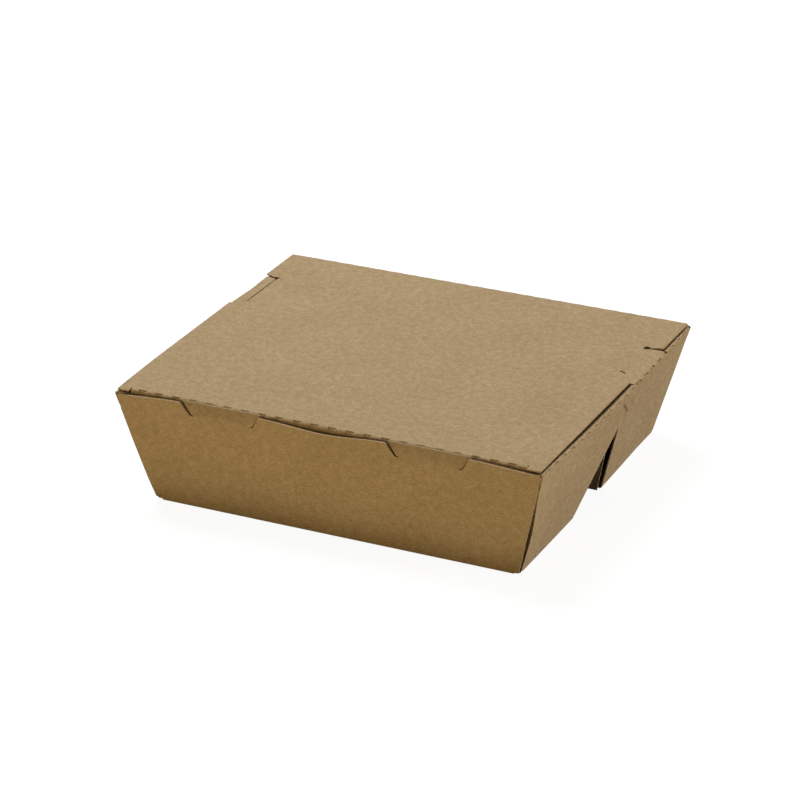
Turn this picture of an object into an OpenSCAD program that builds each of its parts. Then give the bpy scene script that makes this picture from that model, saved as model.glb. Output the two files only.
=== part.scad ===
// Two-compartment takeaway box, folded from one sheet of kraft card.
// X runs along the front panel, Y from front to back, Z up; the origin lies under the
// middle of the box, on the surface that it stands on. All sizes are in millimetres.

/* [Card] */
// Thickness of the card
card = 0.6; // [0.4:0.05:0.8]
// Running clearance between the lid and the tray
clear = 0.3; // [0.2:0.05:0.5]
// Length of one pitch of the perforated creases
perf_pitch = 8; // [6:0.5:12]
// Length of the cut in each pitch of a perforated crease
perf_cut = 4; // [2:0.5:5]
// Least distance of a crease's outermost cuts from the ends of the crease
perf_end = 4; // [2:0.5:12]
// Depth of a perforation nick into the outside of a fold
nick = 0.75; // [0.3:0.05:1.2]
// Width of a die-cut slit
slit = 0.5; // [0.3:0.05:0.8]
// Width of a scored line
score_w = 0.6; // [0.4:0.1:1]
// Depth of a scored line
score_depth = 0.15; // [0.05:0.05:0.25]

/* [Tray] */
// Length of the rim, corner to corner of a long panel
rim_l = 192; // [180:1:215]
// Depth of the rim, outside of front panel to outside of back panel
rim_d = 166; // [156:1:185]
// Height of the rim crease above the table
rim_h = 50.2; // [46:0.2:60]
// Length of the base
base_l = 165; // [150:1:178]
// Depth of the base
base_d = 151; // [140:1:155]
// How far the kinked middle of a side wall stands out beyond its corners
side_bow = 2; // [0.4:0.1:3]
// Drop of the front panel's free top edge below the rim crease
front_drop = 1; // [0.6:0.1:3]
// Gap between the cut edge of a long panel and the corner of the side wall
edge_gap = 0.8; // [0.4:0.1:1.5]
// Run of the bevel at the bottom corners of the long panels
bevel_run = 3.5; // [1:0.5:6]
// Rise of that bevel
bevel_rise = 1.1; // [0.7:0.1:2.5]
// Radius of the top corners of the front panel
corner_r = 1.2; // [0.5:0.1:3]

/* [Glue flaps] */
// Reach of a glue flap behind a long panel, from the corner of the base
glue_w = 28; // [15:1:45]
// Drop of the glue flap's top edge below the rim crease
glue_drop = 8; // [6:0.5:14]

/* [Dust flaps] */
// Width of a dust flap, from the rim crease inwards
dust_w = 26; // [18:1:40]
// Run of the slanted ends of a dust flap
dust_slant = 10; // [8:0.5:18]
// Distance of the dust flap's ends from the corners of the rim
dust_end = 1; // [0.8:0.1:3]

/* [Divider] */
// Place of the divider's front fold along the depth
divider_front = -19; // [-26:1:-14]
// Place of the divider's back fold along the depth
divider_back = 10; // [6:1:12]
// Height of the ridge fold above the table, under the card
ridge_h = 42; // [34:1:43]
// Gap between the divider's side edges and the side walls
divider_gap = 0.8; // [0.4:0.1:2]
// Place of the back foot of the notch in a side wall
notch_back = 13; // [12.5:0.5:18]
// Place of the tip of the notch along the depth
notch_tip_y = 7; // [2:0.5:9]
// Height of the tip of the notch above the table
notch_tip_h = 33.2; // [26:0.2:36]

/* [Front lock tabs] */
// Distance of each lock tab's centre line from the middle of the front panel
lock_x = 47.2; // [38:0.2:58]
// Width of a lock tab along its free end
lock_end_w = 36; // [32:0.5:44]
// Width of a lock tab along its scored root
lock_root_w = 28.8; // [20:0.2:30]
// Height of the scored root below the rim crease
lock_root_drop = 5; // [4:0.1:8]
// Length of the small return cut at the foot of each slit
lock_hook = 1.4; // [0.6:0.1:2.5]

/* [Lid] */
// Length of the lid panel between its side edges
lid_l = 190.8; // [186:0.2:191]
// Width of the tuck flap along its crease
tuck_w = 178; // [160:1:180]
// Height of the tuck flap
tuck_h = 22; // [14:1:26]
// Lean of the tuck flap beyond the lean of the front panel
tuck_lean = 4.5; // [4:0.5:8]
// Taper of the tuck flap at each end
tuck_taper = 3; // [1:0.5:8]
// Radius of the tuck flap's free corners
tuck_r = 9; // [4:0.5:12]
// Distance of the lid's pivot line behind the back panel
pivot_gap = 0.15; // [0.1:0.05:0.4]

/* [Lid side tabs] */
// Distance of the scored root of a side tab from the lid's side edge
tab_root_in = 6.9; // [4:0.1:12]
// Place of the front end of the root along the depth
tab_root_front = 21; // [18:0.5:26]
// Place of the back end of the root along the depth
tab_root_back = 48.5; // [42:0.5:52]
// Flare of the tab's front end
tab_flare_front = 7.5; // [2:0.5:8]
// Flare of the tab's back end
tab_flare_back = 2.2; // [1:0.1:5]
// Dip of the tab where it meets the side wall
tab_dip = 0.15; // [0.05:0.05:0.2]
// Depth of the tab's tip below the dust flap's top face
tab_tip = 1.2; // [0.7:0.1:1.8]
// Width of the slot in the dust flap that takes the tab's tip
slot_w = 2; // [1.6:0.1:3]

/* [Hidden] */
// Longer than anything here, for cutting blocks and panels before they are trimmed
reach = 600;
kraft = [0.62, 0.50, 0.36];
kraft_lid = [0.68, 0.58, 0.45];

// Outward run of the walls for each millimetre of height
lean_x = (rim_l - base_l) / 2 / rim_h;
lean_y = (rim_d - base_d) / 2 / rim_h;
// Thickness of a leaning wall, measured level
card_x = card * sqrt(1 + lean_x * lean_x);
card_y = card * sqrt(1 + lean_y * lean_y);
// Turn of each half of a side wall about its corner of the rim
turn_front = atan(side_bow / (rim_d / 2 + notch_tip_y));
turn_back = atan(side_bow / (rim_d / 2 - notch_tip_y));

lid_under = rim_h + clear;
lid_top = lid_under + card;
pivot_y = rim_d / 2 + pivot_gap;
front_top = rim_h - front_drop;
lock_root_z = rim_h - lock_root_drop;
lock_top = lid_top - clear / 2;
// The lid's front crease stands inside the lock tabs' inner face
lid_front = -base_d / 2 - lean_y * lock_top + card_y + clear;
tab_root_x = lid_l / 2 - tab_root_in;
tab_front = tab_root_front - tab_flare_front;
tab_back = tab_root_back + tab_flare_back;

// Divider: run of each slanted panel for each millimetre of height, and its level thickness
ridge_y = (divider_front + divider_back) / 2;
slope = (divider_back - divider_front) / 2 / ridge_h;
card_slope = card * sqrt(1 + slope * slope);
ridge_top = ridge_h + card_slope / slope;

// Points of an arc from one angle to another
function arc(cx, cy, r, from, to, steps = 6) =
    [for (i = [0 : steps]) let (a = from + (to - from) * i / steps) [cx + r * cos(a), cy + r * sin(a)]];

// Start of each perforation cut along a crease of the given length, centred on it
function cuts(length) =
    let (n = floor((length - 2 * perf_end - perf_cut) / perf_pitch))
    [for (i = [0 : n]) (i - n / 2) * perf_pitch - perf_cut / 2];

// Runs a section drawn as [y, z] along X
module along_x(length = reach) {
    rotate([90, 0, 90]) linear_extrude(height = length, center = true) children();
}

// Runs a section drawn as [x, z] along Y
module along_y(length = reach) {
    rotate([90, 0, 0]) linear_extrude(height = length, center = true) children();
}

// A block that fills all of X and Y between two heights
module level(from, to) {
    translate([-reach / 2, -reach / 2, from]) cube([reach, reach, to - from]);
}

// A block that fills all of X and Z between two places along the depth
module depth_band(from, to) {
    translate([-reach / 2, from, -reach / 2]) cube([reach, to - from, reach]);
}

// Everything on the inner side of one half of the right wall's outer face, moved in by inset
module behind_side(end, inset, top) {
    turn = end < 0 ? -turn_front : turn_back;
    translate([rim_l / 2, end * rim_d / 2, 0])
        rotate([0, 0, turn])
            translate([-rim_l / 2, 0, 0])
                along_y(2 * reach) polygon([
                    [-reach, 0],
                    [base_l / 2 - inset, 0],
                    [base_l / 2 - inset + lean_x * top, top],
                    [-reach, top]
                ]);
}

// The box's outer form up to a height, with its sides and ends moved in by the insets
module form(side_in, end_in, top = rim_h) {
    half = base_d / 2 - end_in;
    intersection() {
        along_x() polygon([
            [-half, 0],
            [half, 0],
            [half + lean_y * top, top],
            [-half - lean_y * top, top]
        ]);
        intersection_for (end = [-1, 1]) behind_side(end, side_in, top);
        intersection_for (end = [-1, 1]) mirror([1, 0, 0]) behind_side(end, side_in, top);
    }
}

// Outline of a long panel as [x, z], with bevelled bottom corners
function panel_half_w(z) = base_l / 2 - edge_gap + lean_x * z;

module long_outline(top, r) {
    w = panel_half_w(top);
    side = [
        [base_l / 2 - bevel_run, 0],
        [panel_half_w(bevel_rise), bevel_rise],
        [panel_half_w(top - r), top - r]
    ];
    crown = arc(w - r, top - r, r, 15, 90);
    right = concat(side, crown);
    left = [for (i = [len(right) - 1 : -1 : 0]) [-right[i][0], right[i][1]]];
    polygon(concat(right, left));
}

// The sheet of the front wall up to a height, before its outline is cut
module front_sheet(top) {
    along_x() polygon([
        [-base_d / 2, 0],
        [-base_d / 2 + card_y, 0],
        [-base_d / 2 + card_y - lean_y * top, top],
        [-base_d / 2 - lean_y * top, top]
    ]);
}

module base_panels() {
    difference() {
        form(0, 0, card);
        depth_band(divider_front, divider_back);
    }
}

// Two slanted panels that meet in a ridge and part the compartments
module divider() {
    intersection() {
        along_x() polygon([
            [divider_front - card_slope, 0],
            [divider_front, 0],
            [ridge_y, ridge_h],
            [divider_back, 0],
            [divider_back + card_slope, 0],
            [ridge_y, ridge_top]
        ]);
        form(card_x + divider_gap, 0);
    }
}

module side_notch() {
    along_x() polygon([
        [divider_front, -1],
        [divider_front, 0],
        [notch_tip_y, notch_tip_h],
        [notch_back, 0],
        [notch_back, -1]
    ]);
}

// Both side walls, with the glue flaps that turn the corners behind the long panels
module side_walls() {
    glue_from = base_l / 2 - glue_w;
    difference() {
        form(0, card_y);
        form(card_x, 2 * card_y, rim_h + 1);
        translate([-glue_from, -reach / 2, -1]) cube([2 * glue_from, reach, rim_h + 2]);
        intersection() {
            form(card_x, 0, rim_h + 1);
            level(rim_h - glue_drop, rim_h + 1);
        }
        side_notch();
    }
}

// Flaps folded in level from the side walls' rim creases
module dust_flaps() {
    inner = rim_l / 2 - dust_w;
    half = rim_d / 2 - dust_end;
    intersection() {
        form(0, 0);
        level(rim_h - card, rim_h);
        for (side = [-1, 1]) translate([0, 0, rim_h - 2 * card]) linear_extrude(height = 3 * card) polygon([
            [side * inner, -half + dust_slant],
            [side * rim_l / 2, -half],
            [side * (rim_l / 2 + 2 * side_bow), -half],
            [side * (rim_l / 2 + 2 * side_bow), half],
            [side * rim_l / 2, half],
            [side * inner, half - dust_slant]
        ]);
    }
}

// Slots beside the side walls, in which the lid's side tabs lock
module tab_slots() {
    intersection() {
        difference() {
            form(card_x, 0, rim_h + 1);
            form(card_x + slot_w, 0, rim_h + 2);
        }
        level(rim_h - 2 * card, rim_h + 1);
        depth_band(tab_front - slit, tab_back + slit);
    }
}

// Perforation of the rim creases over both side walls
module rim_nicks() {
    difference() {
        for (y = cuts(rim_d))
            translate([-reach / 2, y, rim_h - nick]) cube([reach, perf_cut, nick + 1]);
        form(nick, -reach / 8, rim_h + 2);
    }
}

// One lock tab's outline as [x, z], with its root on the panel
module lock_outline(grow = 0) {
    polygon([
        [-lock_root_w / 2 - grow, lock_root_z],
        [lock_root_w / 2 + grow, lock_root_z],
        [lock_end_w / 2 + grow, lock_top + (grow > 0 ? 1 : 0)],
        [-lock_end_w / 2 - grow, lock_top + (grow > 0 ? 1 : 0)]
    ]);
}

// The slits at both sides of a lock tab, each with its small return cut
module lock_slits() {
    difference() {
        lock_outline(slit);
        lock_outline();
    }
    for (side = [-1, 1])
        translate([side * (lock_root_w / 2 - lock_hook / 2 + slit), lock_root_z + slit / 2])
            square([lock_hook, slit], center = true);
}

module front_panel() {
    difference() {
        intersection() {
            front_sheet(lock_top);
            along_y() difference() {
                union() {
                    long_outline(front_top, corner_r);
                    for (side = [-1, 1]) translate([side * lock_x, 0]) lock_outline();
                }
                for (side = [-1, 1]) translate([side * lock_x, 0]) lock_slits();
            }
        }
        lock_scores();
    }
}

// Scored lines across the roots of the lock tabs, pressed into the outer face
module lock_scores() {
    root_y = -base_d / 2 - lean_y * lock_root_z;
    for (side = [-1, 1])
        translate([side * lock_x - lock_root_w / 2 + lock_hook, root_y - card, lock_root_z - score_w / 2])
            cube([lock_root_w - 2 * lock_hook, card + score_depth, score_w]);
}

module back_panel() {
    intersection() {
        mirror([0, 1, 0]) front_sheet(rim_h);
        along_y() long_outline(rim_h, corner_r / 2);
    }
}

module tray() {
    color(kraft) difference() {
        union() {
            base_panels();
            divider();
            side_walls();
            front_panel();
            back_panel();
            dust_flaps();
        }
        tab_slots();
        rim_nicks();
    }
}

// Plan of the right side tab as [x, y], from its root out to past the side wall
module tab_plan(grow = 0) {
    edge = lid_l / 2;
    past = rim_l / 2 + 2 * side_bow;
    polygon([
        [tab_root_x, tab_root_front - grow],
        [edge, tab_front - grow],
        [past, tab_front - grow],
        [past, tab_back + grow],
        [edge, tab_back + grow],
        [tab_root_x, tab_root_back + grow]
    ]);
}

// A side tab dips from its score to the side wall and turns down into the slot there
module side_tab() {
    far = rim_l / 2 + 2 * side_bow;
    fall = tab_dip * (far - tab_root_x) / tab_root_in;
    tip_top = lid_under - tab_dip + card / 2;
    intersection() {
        translate([0, 0, rim_h - 2 * tab_tip]) linear_extrude(height = 4 * tab_tip) tab_plan();
        form(card_x + clear, 0, lid_top + 1);
        union() {
            along_y() polygon([
                [tab_root_x - slit, lid_under],
                [tab_root_x, lid_under],
                [far, lid_under - fall],
                [far, lid_top - fall],
                [tab_root_x, lid_top],
                [tab_root_x - slit, lid_top]
            ]);
            difference() {
                level(rim_h - tab_tip, tip_top);
                form(2 * card_x + clear, 0, lid_top + 1);
            }
        }
    }
}

module lid_panel() {
    difference() {
        translate([-lid_l / 2, lid_front, lid_under]) cube([lid_l, pivot_y - lid_front, card]);
        for (side = [0, 1]) mirror([side, 0, 0])
            translate([0, 0, lid_under - 1]) linear_extrude(height = card + 2) tab_plan(slit);
    }
}

// Flap behind the front panel, hung from the lid's perforated front crease
module tuck_flap() {
    low = lid_top - tuck_h;
    foot = tuck_w / 2 - tuck_taper;
    lean = atan(lean_y) + tuck_lean;
    run = tan(lean) * tuck_h;
    level_card = card / cos(lean);
    right = concat(
        [[tuck_w / 2, lid_top]],
        arc(foot - tuck_r, low + tuck_r, tuck_r, 0, -90)
    );
    left = [for (i = [len(right) - 1 : -1 : 0]) [-right[i][0], right[i][1]]];
    intersection() {
        along_x() polygon([
            [lid_front, lid_top],
            [lid_front + run, low],
            [lid_front + run + level_card, low],
            [lid_front + level_card, lid_top]
        ]);
        along_y() polygon(concat(right, left));
    }
}

// Perforation of the lid's front crease and of its hinge crease
module lid_nicks() {
    for (x = cuts(tuck_w))
        translate([x, lid_front - 1, lid_under - nick]) cube([perf_cut, 1 + nick, card + nick + 1]);
    for (x = cuts(lid_l))
        translate([x, pivot_y - nick, lid_under - 1]) cube([perf_cut, 1 + nick, card + 2]);
}

module lid() {
    color(kraft_lid) difference() {
        union() {
            lid_panel();
            tuck_flap();
            for (side = [0, 1]) mirror([side, 0, 0]) side_tab();
        }
        lid_nicks();
    }
}

tray();
lid();
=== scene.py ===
"""Takeaway box with two compartments, folded from kraft card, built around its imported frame.

Metres throughout. X runs along the front panel, Y from front to back, Z up.
Each panel is drawn flat with its cuts, laid along a folded section, and given the card's thickness.
"""

import math

import bpy
import numpy as np
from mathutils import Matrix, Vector
from mathutils.geometry import delaunay_2d_cdt


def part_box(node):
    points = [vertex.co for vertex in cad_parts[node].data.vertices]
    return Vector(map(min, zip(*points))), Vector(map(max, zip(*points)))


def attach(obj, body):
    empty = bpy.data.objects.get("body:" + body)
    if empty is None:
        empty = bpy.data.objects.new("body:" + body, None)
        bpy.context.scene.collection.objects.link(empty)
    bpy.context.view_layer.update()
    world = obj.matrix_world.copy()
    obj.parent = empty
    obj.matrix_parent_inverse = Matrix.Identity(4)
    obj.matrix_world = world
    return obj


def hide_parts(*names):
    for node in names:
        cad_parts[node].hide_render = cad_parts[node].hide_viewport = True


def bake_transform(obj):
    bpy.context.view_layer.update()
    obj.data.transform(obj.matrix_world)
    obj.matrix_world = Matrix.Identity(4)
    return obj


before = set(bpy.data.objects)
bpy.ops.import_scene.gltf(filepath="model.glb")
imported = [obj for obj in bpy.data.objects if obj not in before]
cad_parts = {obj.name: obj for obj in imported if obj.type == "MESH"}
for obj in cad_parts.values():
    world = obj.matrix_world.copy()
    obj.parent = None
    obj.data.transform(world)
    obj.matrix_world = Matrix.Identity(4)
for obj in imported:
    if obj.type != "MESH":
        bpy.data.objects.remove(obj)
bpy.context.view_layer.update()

MM = 0.001

# Card, and its creases perforated with cuts
CARD = 0.6 * MM
PITCH = 8 * MM
CUT = 4 * MM
CUT_EASE = 0.5 * MM

# Tray
RIM_L = 192 * MM
RIM_D = 166 * MM
RIM_H = 50.2 * MM
BASE_L = 165 * MM
BASE_D = 151 * MM
BACK_GAP = 0.2 * MM
CORNER_R = 1.2 * MM
BEVEL_RUN = 3.5 * MM
BEVEL_RISE = 1.1 * MM
DIVIDER_FRONT = -19 * MM
DIVIDER_BACK = 10 * MM
DIVIDER_GAP = 0.3 * MM
RIDGE_H = 42 * MM
NOTCH_BACK = 13 * MM
NOTCH_TIP = (7 * MM, 33.2 * MM)
GLUE_W = 28 * MM
GLUE_DROP = 8 * MM
DUST_W = 26 * MM
DUST_SLANT = 10 * MM
DUST_BEND = (8 * MM, 1.5 * MM)
DUST_DROP = 2.4 * MM
SLOT_W = 1.9 * MM

# Lid, a little to the left on the tray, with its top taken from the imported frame
LID_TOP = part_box("lid")[1].z
LID_L = 190.8 * MM
LID_SHIFT = -0.8 * MM
LID_FRONT = -81.2 * MM
LID_CORNER = -81.9 * MM
TUCK_W = 178 * MM
TUCK_H = 22 * MM
TUCK_LEAN = math.radians(12)
TUCK_NECK = 3 * MM
TUCK_NECK_LEAN = math.radians(28)
TUCK_TAPER = 3 * MM
TUCK_R = 9 * MM
TUCK_SLACK = 0.15
TUCK_SLACK_HALF = 31 * MM

# Radius of the card's middle line at each kind of fold
BASE_FOLD = 0.5 * MM
RIDGE_FOLD = 0.6 * MM
CORNER_FOLD = 0.32 * MM
RIM_FOLD = 0.5 * MM
DUST_FOLD = 12 * MM
FRONT_FOLD = 0.9 * MM
TUCK_CURVE = 8 * MM
HINGE_FOLD = 0.6 * MM
TAB_FOLD = 0.35 * MM

# Largest step between points, steps in an arc, and distance from it of the row that keeps a panel flat
STEP = 5 * MM
ARC_STEPS = 6
SUPPORT = 0.4 * MM

# Shortest side of an outline, least distance of inner points from it, distance over which a slope is taken,
# distance within which points are one, and angle from which an edge is sharp
SHORTEST = 0.03 * MM
GRID_MARGIN = 0.1 * MM
NUDGE = 0.01 * MM
WELD = 10e-6
SHARP = math.radians(40)

# Distance between sheets in the grain's space, twice that between a sheet's faces
GRAIN_APART = 0.5

lean_x = (RIM_L - BASE_L) / 2 / RIM_H
lean_y = (RIM_D - BASE_D) / 2 / RIM_H
slant_x = math.hypot(1, lean_x)
slant_y = math.hypot(1, lean_y)
mid_z = CARD / 2


class Section:
    """The middle line of folded card: straight runs between corners, and an arc at each fold."""

    def __init__(self, corners, radii):
        corners = [np.array(c, float) for c in corners]
        heads = [(b - a) / np.linalg.norm(b - a) for a, b in zip(corners, corners[1:])]
        turns = [math.atan2(a[0] * b[1] - a[1] * b[0], a @ b) for a, b in zip(heads, heads[1:])]
        trims = [0, *[r * math.tan(abs(t) / 2) for r, t in zip(radii, turns)], 0]
        self.runs = []
        self.arcs = []
        s = 0.0
        for i, head in enumerate(heads):
            start = corners[i] + head * trims[i]
            end = corners[i + 1] - head * trims[i + 1]
            self.runs.append((s, start, head))
            s += np.linalg.norm(end - start)
            if i < len(turns):
                side = math.copysign(1, turns[i])
                centre = end + np.array([-head[1], head[0]]) * side * radii[i]
                first = math.atan2(*(end - centre)[::-1])
                self.arcs.append((s, s + radii[i] * abs(turns[i]), centre, radii[i], side, first))
                s = self.arcs[-1][1]
        self.length = s

    def at(self, s):
        """Points at these distances along the section; the first and last runs go on past its ends."""
        found = np.empty((len(s), 2))
        for i, (s0, start, head) in enumerate(self.runs):
            on = s >= s0 if i else np.ones(len(s), bool)
            found[on] = start + (s[on] - s0)[:, None] * head
            if i < len(self.arcs):
                s0, _, centre, radius, side, first = self.arcs[i]
                on = s >= s0
                angle = first + side * (s[on] - s0) / radius
                found[on] = centre + radius * np.stack([np.cos(angle), np.sin(angle)], 1)
        return found

    def straight(self, s, i, past):
        """As at(), but with the card straight on both sides of a cut along the middle of fold i."""
        s0, start, head = self.runs[i]
        t0, origin, turned = self.runs[i + 1]
        before = start + (s - s0)[:, None] * head
        after = origin + (s - t0)[:, None] * turned
        return np.where(past[:, None], after, before)

    def where(self, run, point):
        """Distance along the section of a point on one of its straight runs."""
        s0, start, head = self.runs[run]
        return s0 + (np.array(point) - start) @ head

    def fold(self, i):
        """Where a fold's arc starts and ends."""
        return self.arcs[i][:2]

    def rows(self):
        """Distances at which a mesh needs a row of points: along every arc, and just outside it."""
        return np.concatenate([
            np.r_[a[0] - SUPPORT, np.linspace(a[0], a[1], ARC_STEPS + 1), a[1] + SUPPORT] for a in self.arcs
        ])


def front_y(z, inset):
    """Depth of the front wall's card at a height, so far behind its outer face."""
    return -(BASE_D / 2 + lean_y * z - inset * slant_y)


def side_x(z, inset):
    """Half length of the box at a height, so far inside a side wall's outer face."""
    return BASE_L / 2 + lean_x * z - inset * slant_x


def spread(a, b, step=STEP):
    """Evenly spaced values from a to b, no further apart than a step."""
    return np.linspace(a, b, max(2, math.ceil(abs(b - a) / step) + 1))


def hump(x, middle, half):
    """A smooth hump of height 1 that ends half a width away from its middle."""
    return np.clip(1 - ((x - middle) / half) ** 2, 0, None) ** 2


def near_path(points, path):
    """Distance of points from a path of straight lines."""
    found = np.full(len(points), np.inf)
    for p, q in zip(path, path[1:]):
        d = q - p
        t = np.clip((points - p) @ d / max(d @ d, 1e-18), 0, 1)
        found = np.minimum(found, np.linalg.norm(points - p - t[:, None] * d, axis=1))
    return found


def mirrored(loop):
    return [(-u, v) for u, v in loop]


def arc(centre, radius, start, end, steps):
    """Points of an arc between two angles in degrees."""
    angles = np.radians(np.linspace(start, end, steps + 1))
    return [(centre[0] + radius * math.cos(a), centre[1] + radius * math.sin(a)) for a in angles]


def divide(loop, rows):
    """A closed outline with points added on long sides and where its sides cross the rows."""
    points = []
    for p, q in zip(loop, np.roll(loop, -1, axis=0)):
        size = np.linalg.norm(q - p)
        cuts = list(np.linspace(0, 1, max(1, math.ceil(size / STEP)) + 1)[:-1])
        rise = q[1] - p[1]
        if abs(rise) > 1e-7:
            cuts += [t for t in (rows - p[1]) / rise if 0 < t < 1]
        kept = [0.0]
        for t in np.unique(np.round(cuts, 6))[1:]:
            if (t - kept[-1]) * size > SHORTEST and (1 - t) * size > SHORTEST:
                kept.append(t)
        points += [p + (q - p) * t for t in kept]
    return np.array(points)


def inside(points, loops):
    """Which points lie inside an odd number of closed outlines."""
    found = np.zeros(len(points), bool)
    x, y = points.T
    for loop in loops:
        for (x0, y0), (x1, y1) in zip(loop, np.roll(loop, -1, axis=0)):
            if y0 != y1:
                found ^= ((y0 > y) != (y1 > y)) & (x < x0 + (y - y0) * (x1 - x0) / (y1 - y0))
    return found


def clear_of(points, loops, lines, margin):
    """Which points lie at least a margin away from every side of the outlines and lines."""
    paths = [np.concatenate([loop, loop[:1]]) for loop in loops] + lines
    return np.min([near_path(points, path) for path in paths], axis=0) > margin


class Sheet:
    """A flat panel of card with holes and crease lines, and its place in the folded box."""

    def __init__(self, outline, holes, rows, columns, place, hand=1, part=None, lines=()):
        rows = np.unique(np.round(rows, 8))
        loops = [divide(np.array(loop, float), rows) for loop in [outline, *holes]]
        lines = [np.array(line, float) for line in lines]
        grid = np.array([(u, v) for v in rows for u in columns])
        grid = grid[inside(grid, loops) & clear_of(grid, loops, lines, GRID_MARGIN)]
        points = np.concatenate([*loops, *lines, grid])
        sides = []
        first = 0
        for loop in loops:
            sides += [(first + i, first + (i + 1) % len(loop)) for i in range(len(loop))]
            first += len(loop)
        for line in lines:
            sides += [(first + i, first + i + 1) for i in range(len(line) - 1)]
            first += len(line)
        flat = [Vector(p / MM) for p in points]
        verts, _, faces, came_from, _, _ = delaunay_2d_cdt(flat, sides, [], 0, 1e-6)
        self.flat = np.array([
            points[ids[0]] if ids else np.array(v) * MM for v, ids in zip(verts, came_from)
        ])
        faces = np.array(faces)
        self.faces = faces[inside(self.flat[faces].mean(1), loops)]
        u, v = self.flat.T
        kind = part(u, v) if part else None
        self.points = place(u, v, kind)
        du = place(u + NUDGE, v, kind) - place(u - NUDGE, v, kind)
        dv = place(u, v + NUDGE, kind) - place(u, v - NUDGE, kind)
        normals = np.cross(du, dv) * hand
        self.normals = normals / np.linalg.norm(normals, axis=1)[:, None]


def add_object(name, data):
    new = bpy.data.objects.new(name, data)
    bpy.context.scene.collection.objects.link(new)
    return new


def thicken(name, sheets):
    """One closed mesh of card, both faces and the cut edges, from sheets that meet along shared points."""
    points = np.concatenate([s.points for s in sheets])
    normals = np.concatenate([s.normals for s in sheets])
    flat = np.concatenate([
        np.c_[s.flat, np.full(len(s.flat), GRAIN_APART * i)] for i, s in enumerate(sheets)
    ])
    firsts = np.cumsum([0] + [len(s.points) for s in sheets[:-1]])
    faces = np.concatenate([s.faces + first for s, first in zip(sheets, firsts)])
    places = np.round(points / WELD)
    _, keep, joined = np.unique(places, axis=0, return_index=True, return_inverse=True)
    joined = joined.ravel()
    summed = np.zeros((len(keep), 3))
    np.add.at(summed, joined, normals)
    normals = summed / np.linalg.norm(summed, axis=1)[:, None]
    points, flat, faces = points[keep], flat[keep], joined[faces]
    i, j, k = faces.T
    faces = faces[(i != j) & (j != k) & (i != k)]
    a, b, c = points[faces].transpose(1, 0, 2)
    facing = np.einsum("ij,ij->i", np.cross(b - a, c - a), normals[faces].sum(1))
    faces[facing < 0] = faces[facing < 0][:, ::-1]
    used = set(map(tuple, np.concatenate([faces[:, [0, 1]], faces[:, [1, 2]], faces[:, [2, 0]]])))
    rim = np.array([(i, j) for i, j in used if (j, i) not in used])
    rim = rim[np.lexsort(rim.T)]
    n = len(points)
    corners = np.concatenate([points + normals * CARD / 2, points - normals * CARD / 2])
    edge_quads = np.c_[rim[:, 1], rim[:, 0], rim[:, 0] + n, rim[:, 1] + n]
    mesh = bpy.data.meshes.new(name)
    skins = faces.tolist() + (faces[:, ::-1] + n).tolist()
    mesh.from_pydata(corners.tolist(), [], skins + edge_quads.tolist())
    slots = np.r_[np.zeros(2 * len(faces)), np.ones(len(rim))].astype(np.int32)
    mesh.polygons.foreach_set("material_index", slots)
    sheet = mesh.attributes.new("sheet", "FLOAT_VECTOR", "POINT")
    inner = flat + [0, 0, GRAIN_APART / 2]
    sheet.data.foreach_set("vector", np.concatenate([flat, inner]).astype(np.float32).ravel())
    mesh.polygons.foreach_set("use_smooth", np.ones(len(mesh.polygons), bool))
    mesh.set_sharp_from_angle(angle=SHARP)
    mesh.update()
    return add_object(name, mesh)


def cuts_along(middle, pitch, count):
    """Middles of a crease's cuts, evenly spaced around the middle of their row."""
    return [middle + pitch * (i - (count - 1) / 2) for i in range(count)]


def cut_columns(cuts, others):
    """Columns of points at which the cuts of a crease start and end, and others given."""
    ends = (-CUT / 2, CUT_EASE - CUT / 2, CUT / 2 - CUT_EASE, CUT / 2)
    return np.unique(np.round([*[cut + end for cut in cuts for end in ends], *others], 6))


def cut_share(u, cuts):
    """1 along the cuts of a perforated crease, 0 on its bridges."""
    off = np.abs(u[:, None] - np.array(cuts)[None]).min(1)
    t = np.clip((CUT / 2 - off) / CUT_EASE, 0, 1)
    return t * t * (3 - 2 * t)


def slit(middle, line, half):
    """A narrow opening along a cut, closed at both ends."""
    ends = CUT / 2 - CUT_EASE
    return [
        (middle - CUT / 2, line), (middle - ends, line - half), (middle + ends, line - half),
        (middle + CUT / 2, line), (middle + ends, line + half), (middle - ends, line + half),
    ]


# Bow of the right wall's rim and base edge, and the distances from its middle at which it ends
RIM_BOW = 1.5 * MM
RIM_BOW_END = 84 * MM
BASE_BOW = 1.1 * MM
BASE_BOW_MIDDLE = -10 * MM
BASE_BOW_AHEAD = 90 * MM
BASE_BOW_BEHIND = 66 * MM

# Swells of the left wall's rim and base edge, as height, middle and half length: the lid's tab holds the
# rim in, behind the middle
LEFT_RIM_SWELLS = [(1.3 * MM, -18 * MM, 58 * MM), (0.6 * MM, 62 * MM, 24 * MM)]
LEFT_BASE_SWELL = (0.7 * BASE_BOW, -3 * MM, 72 * MM)

# Sag of the right rim, and its middle and half length
RIM_SAG = 0.45 * MM
RIM_SAG_AT = (-20 * MM, 60 * MM)


def swell(y, height, middle, half):
    """A rounded swell that ends half a length away from its middle."""
    return height * np.clip(1 - ((y - middle) / half) ** 2, 0, None)


def rim_bow(y, hand):
    if hand > 0:
        return RIM_BOW * (1 - np.abs(y / RIM_BOW_END) ** 2.5)
    return sum(swell(y, *at) for at in LEFT_RIM_SWELLS)


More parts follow.
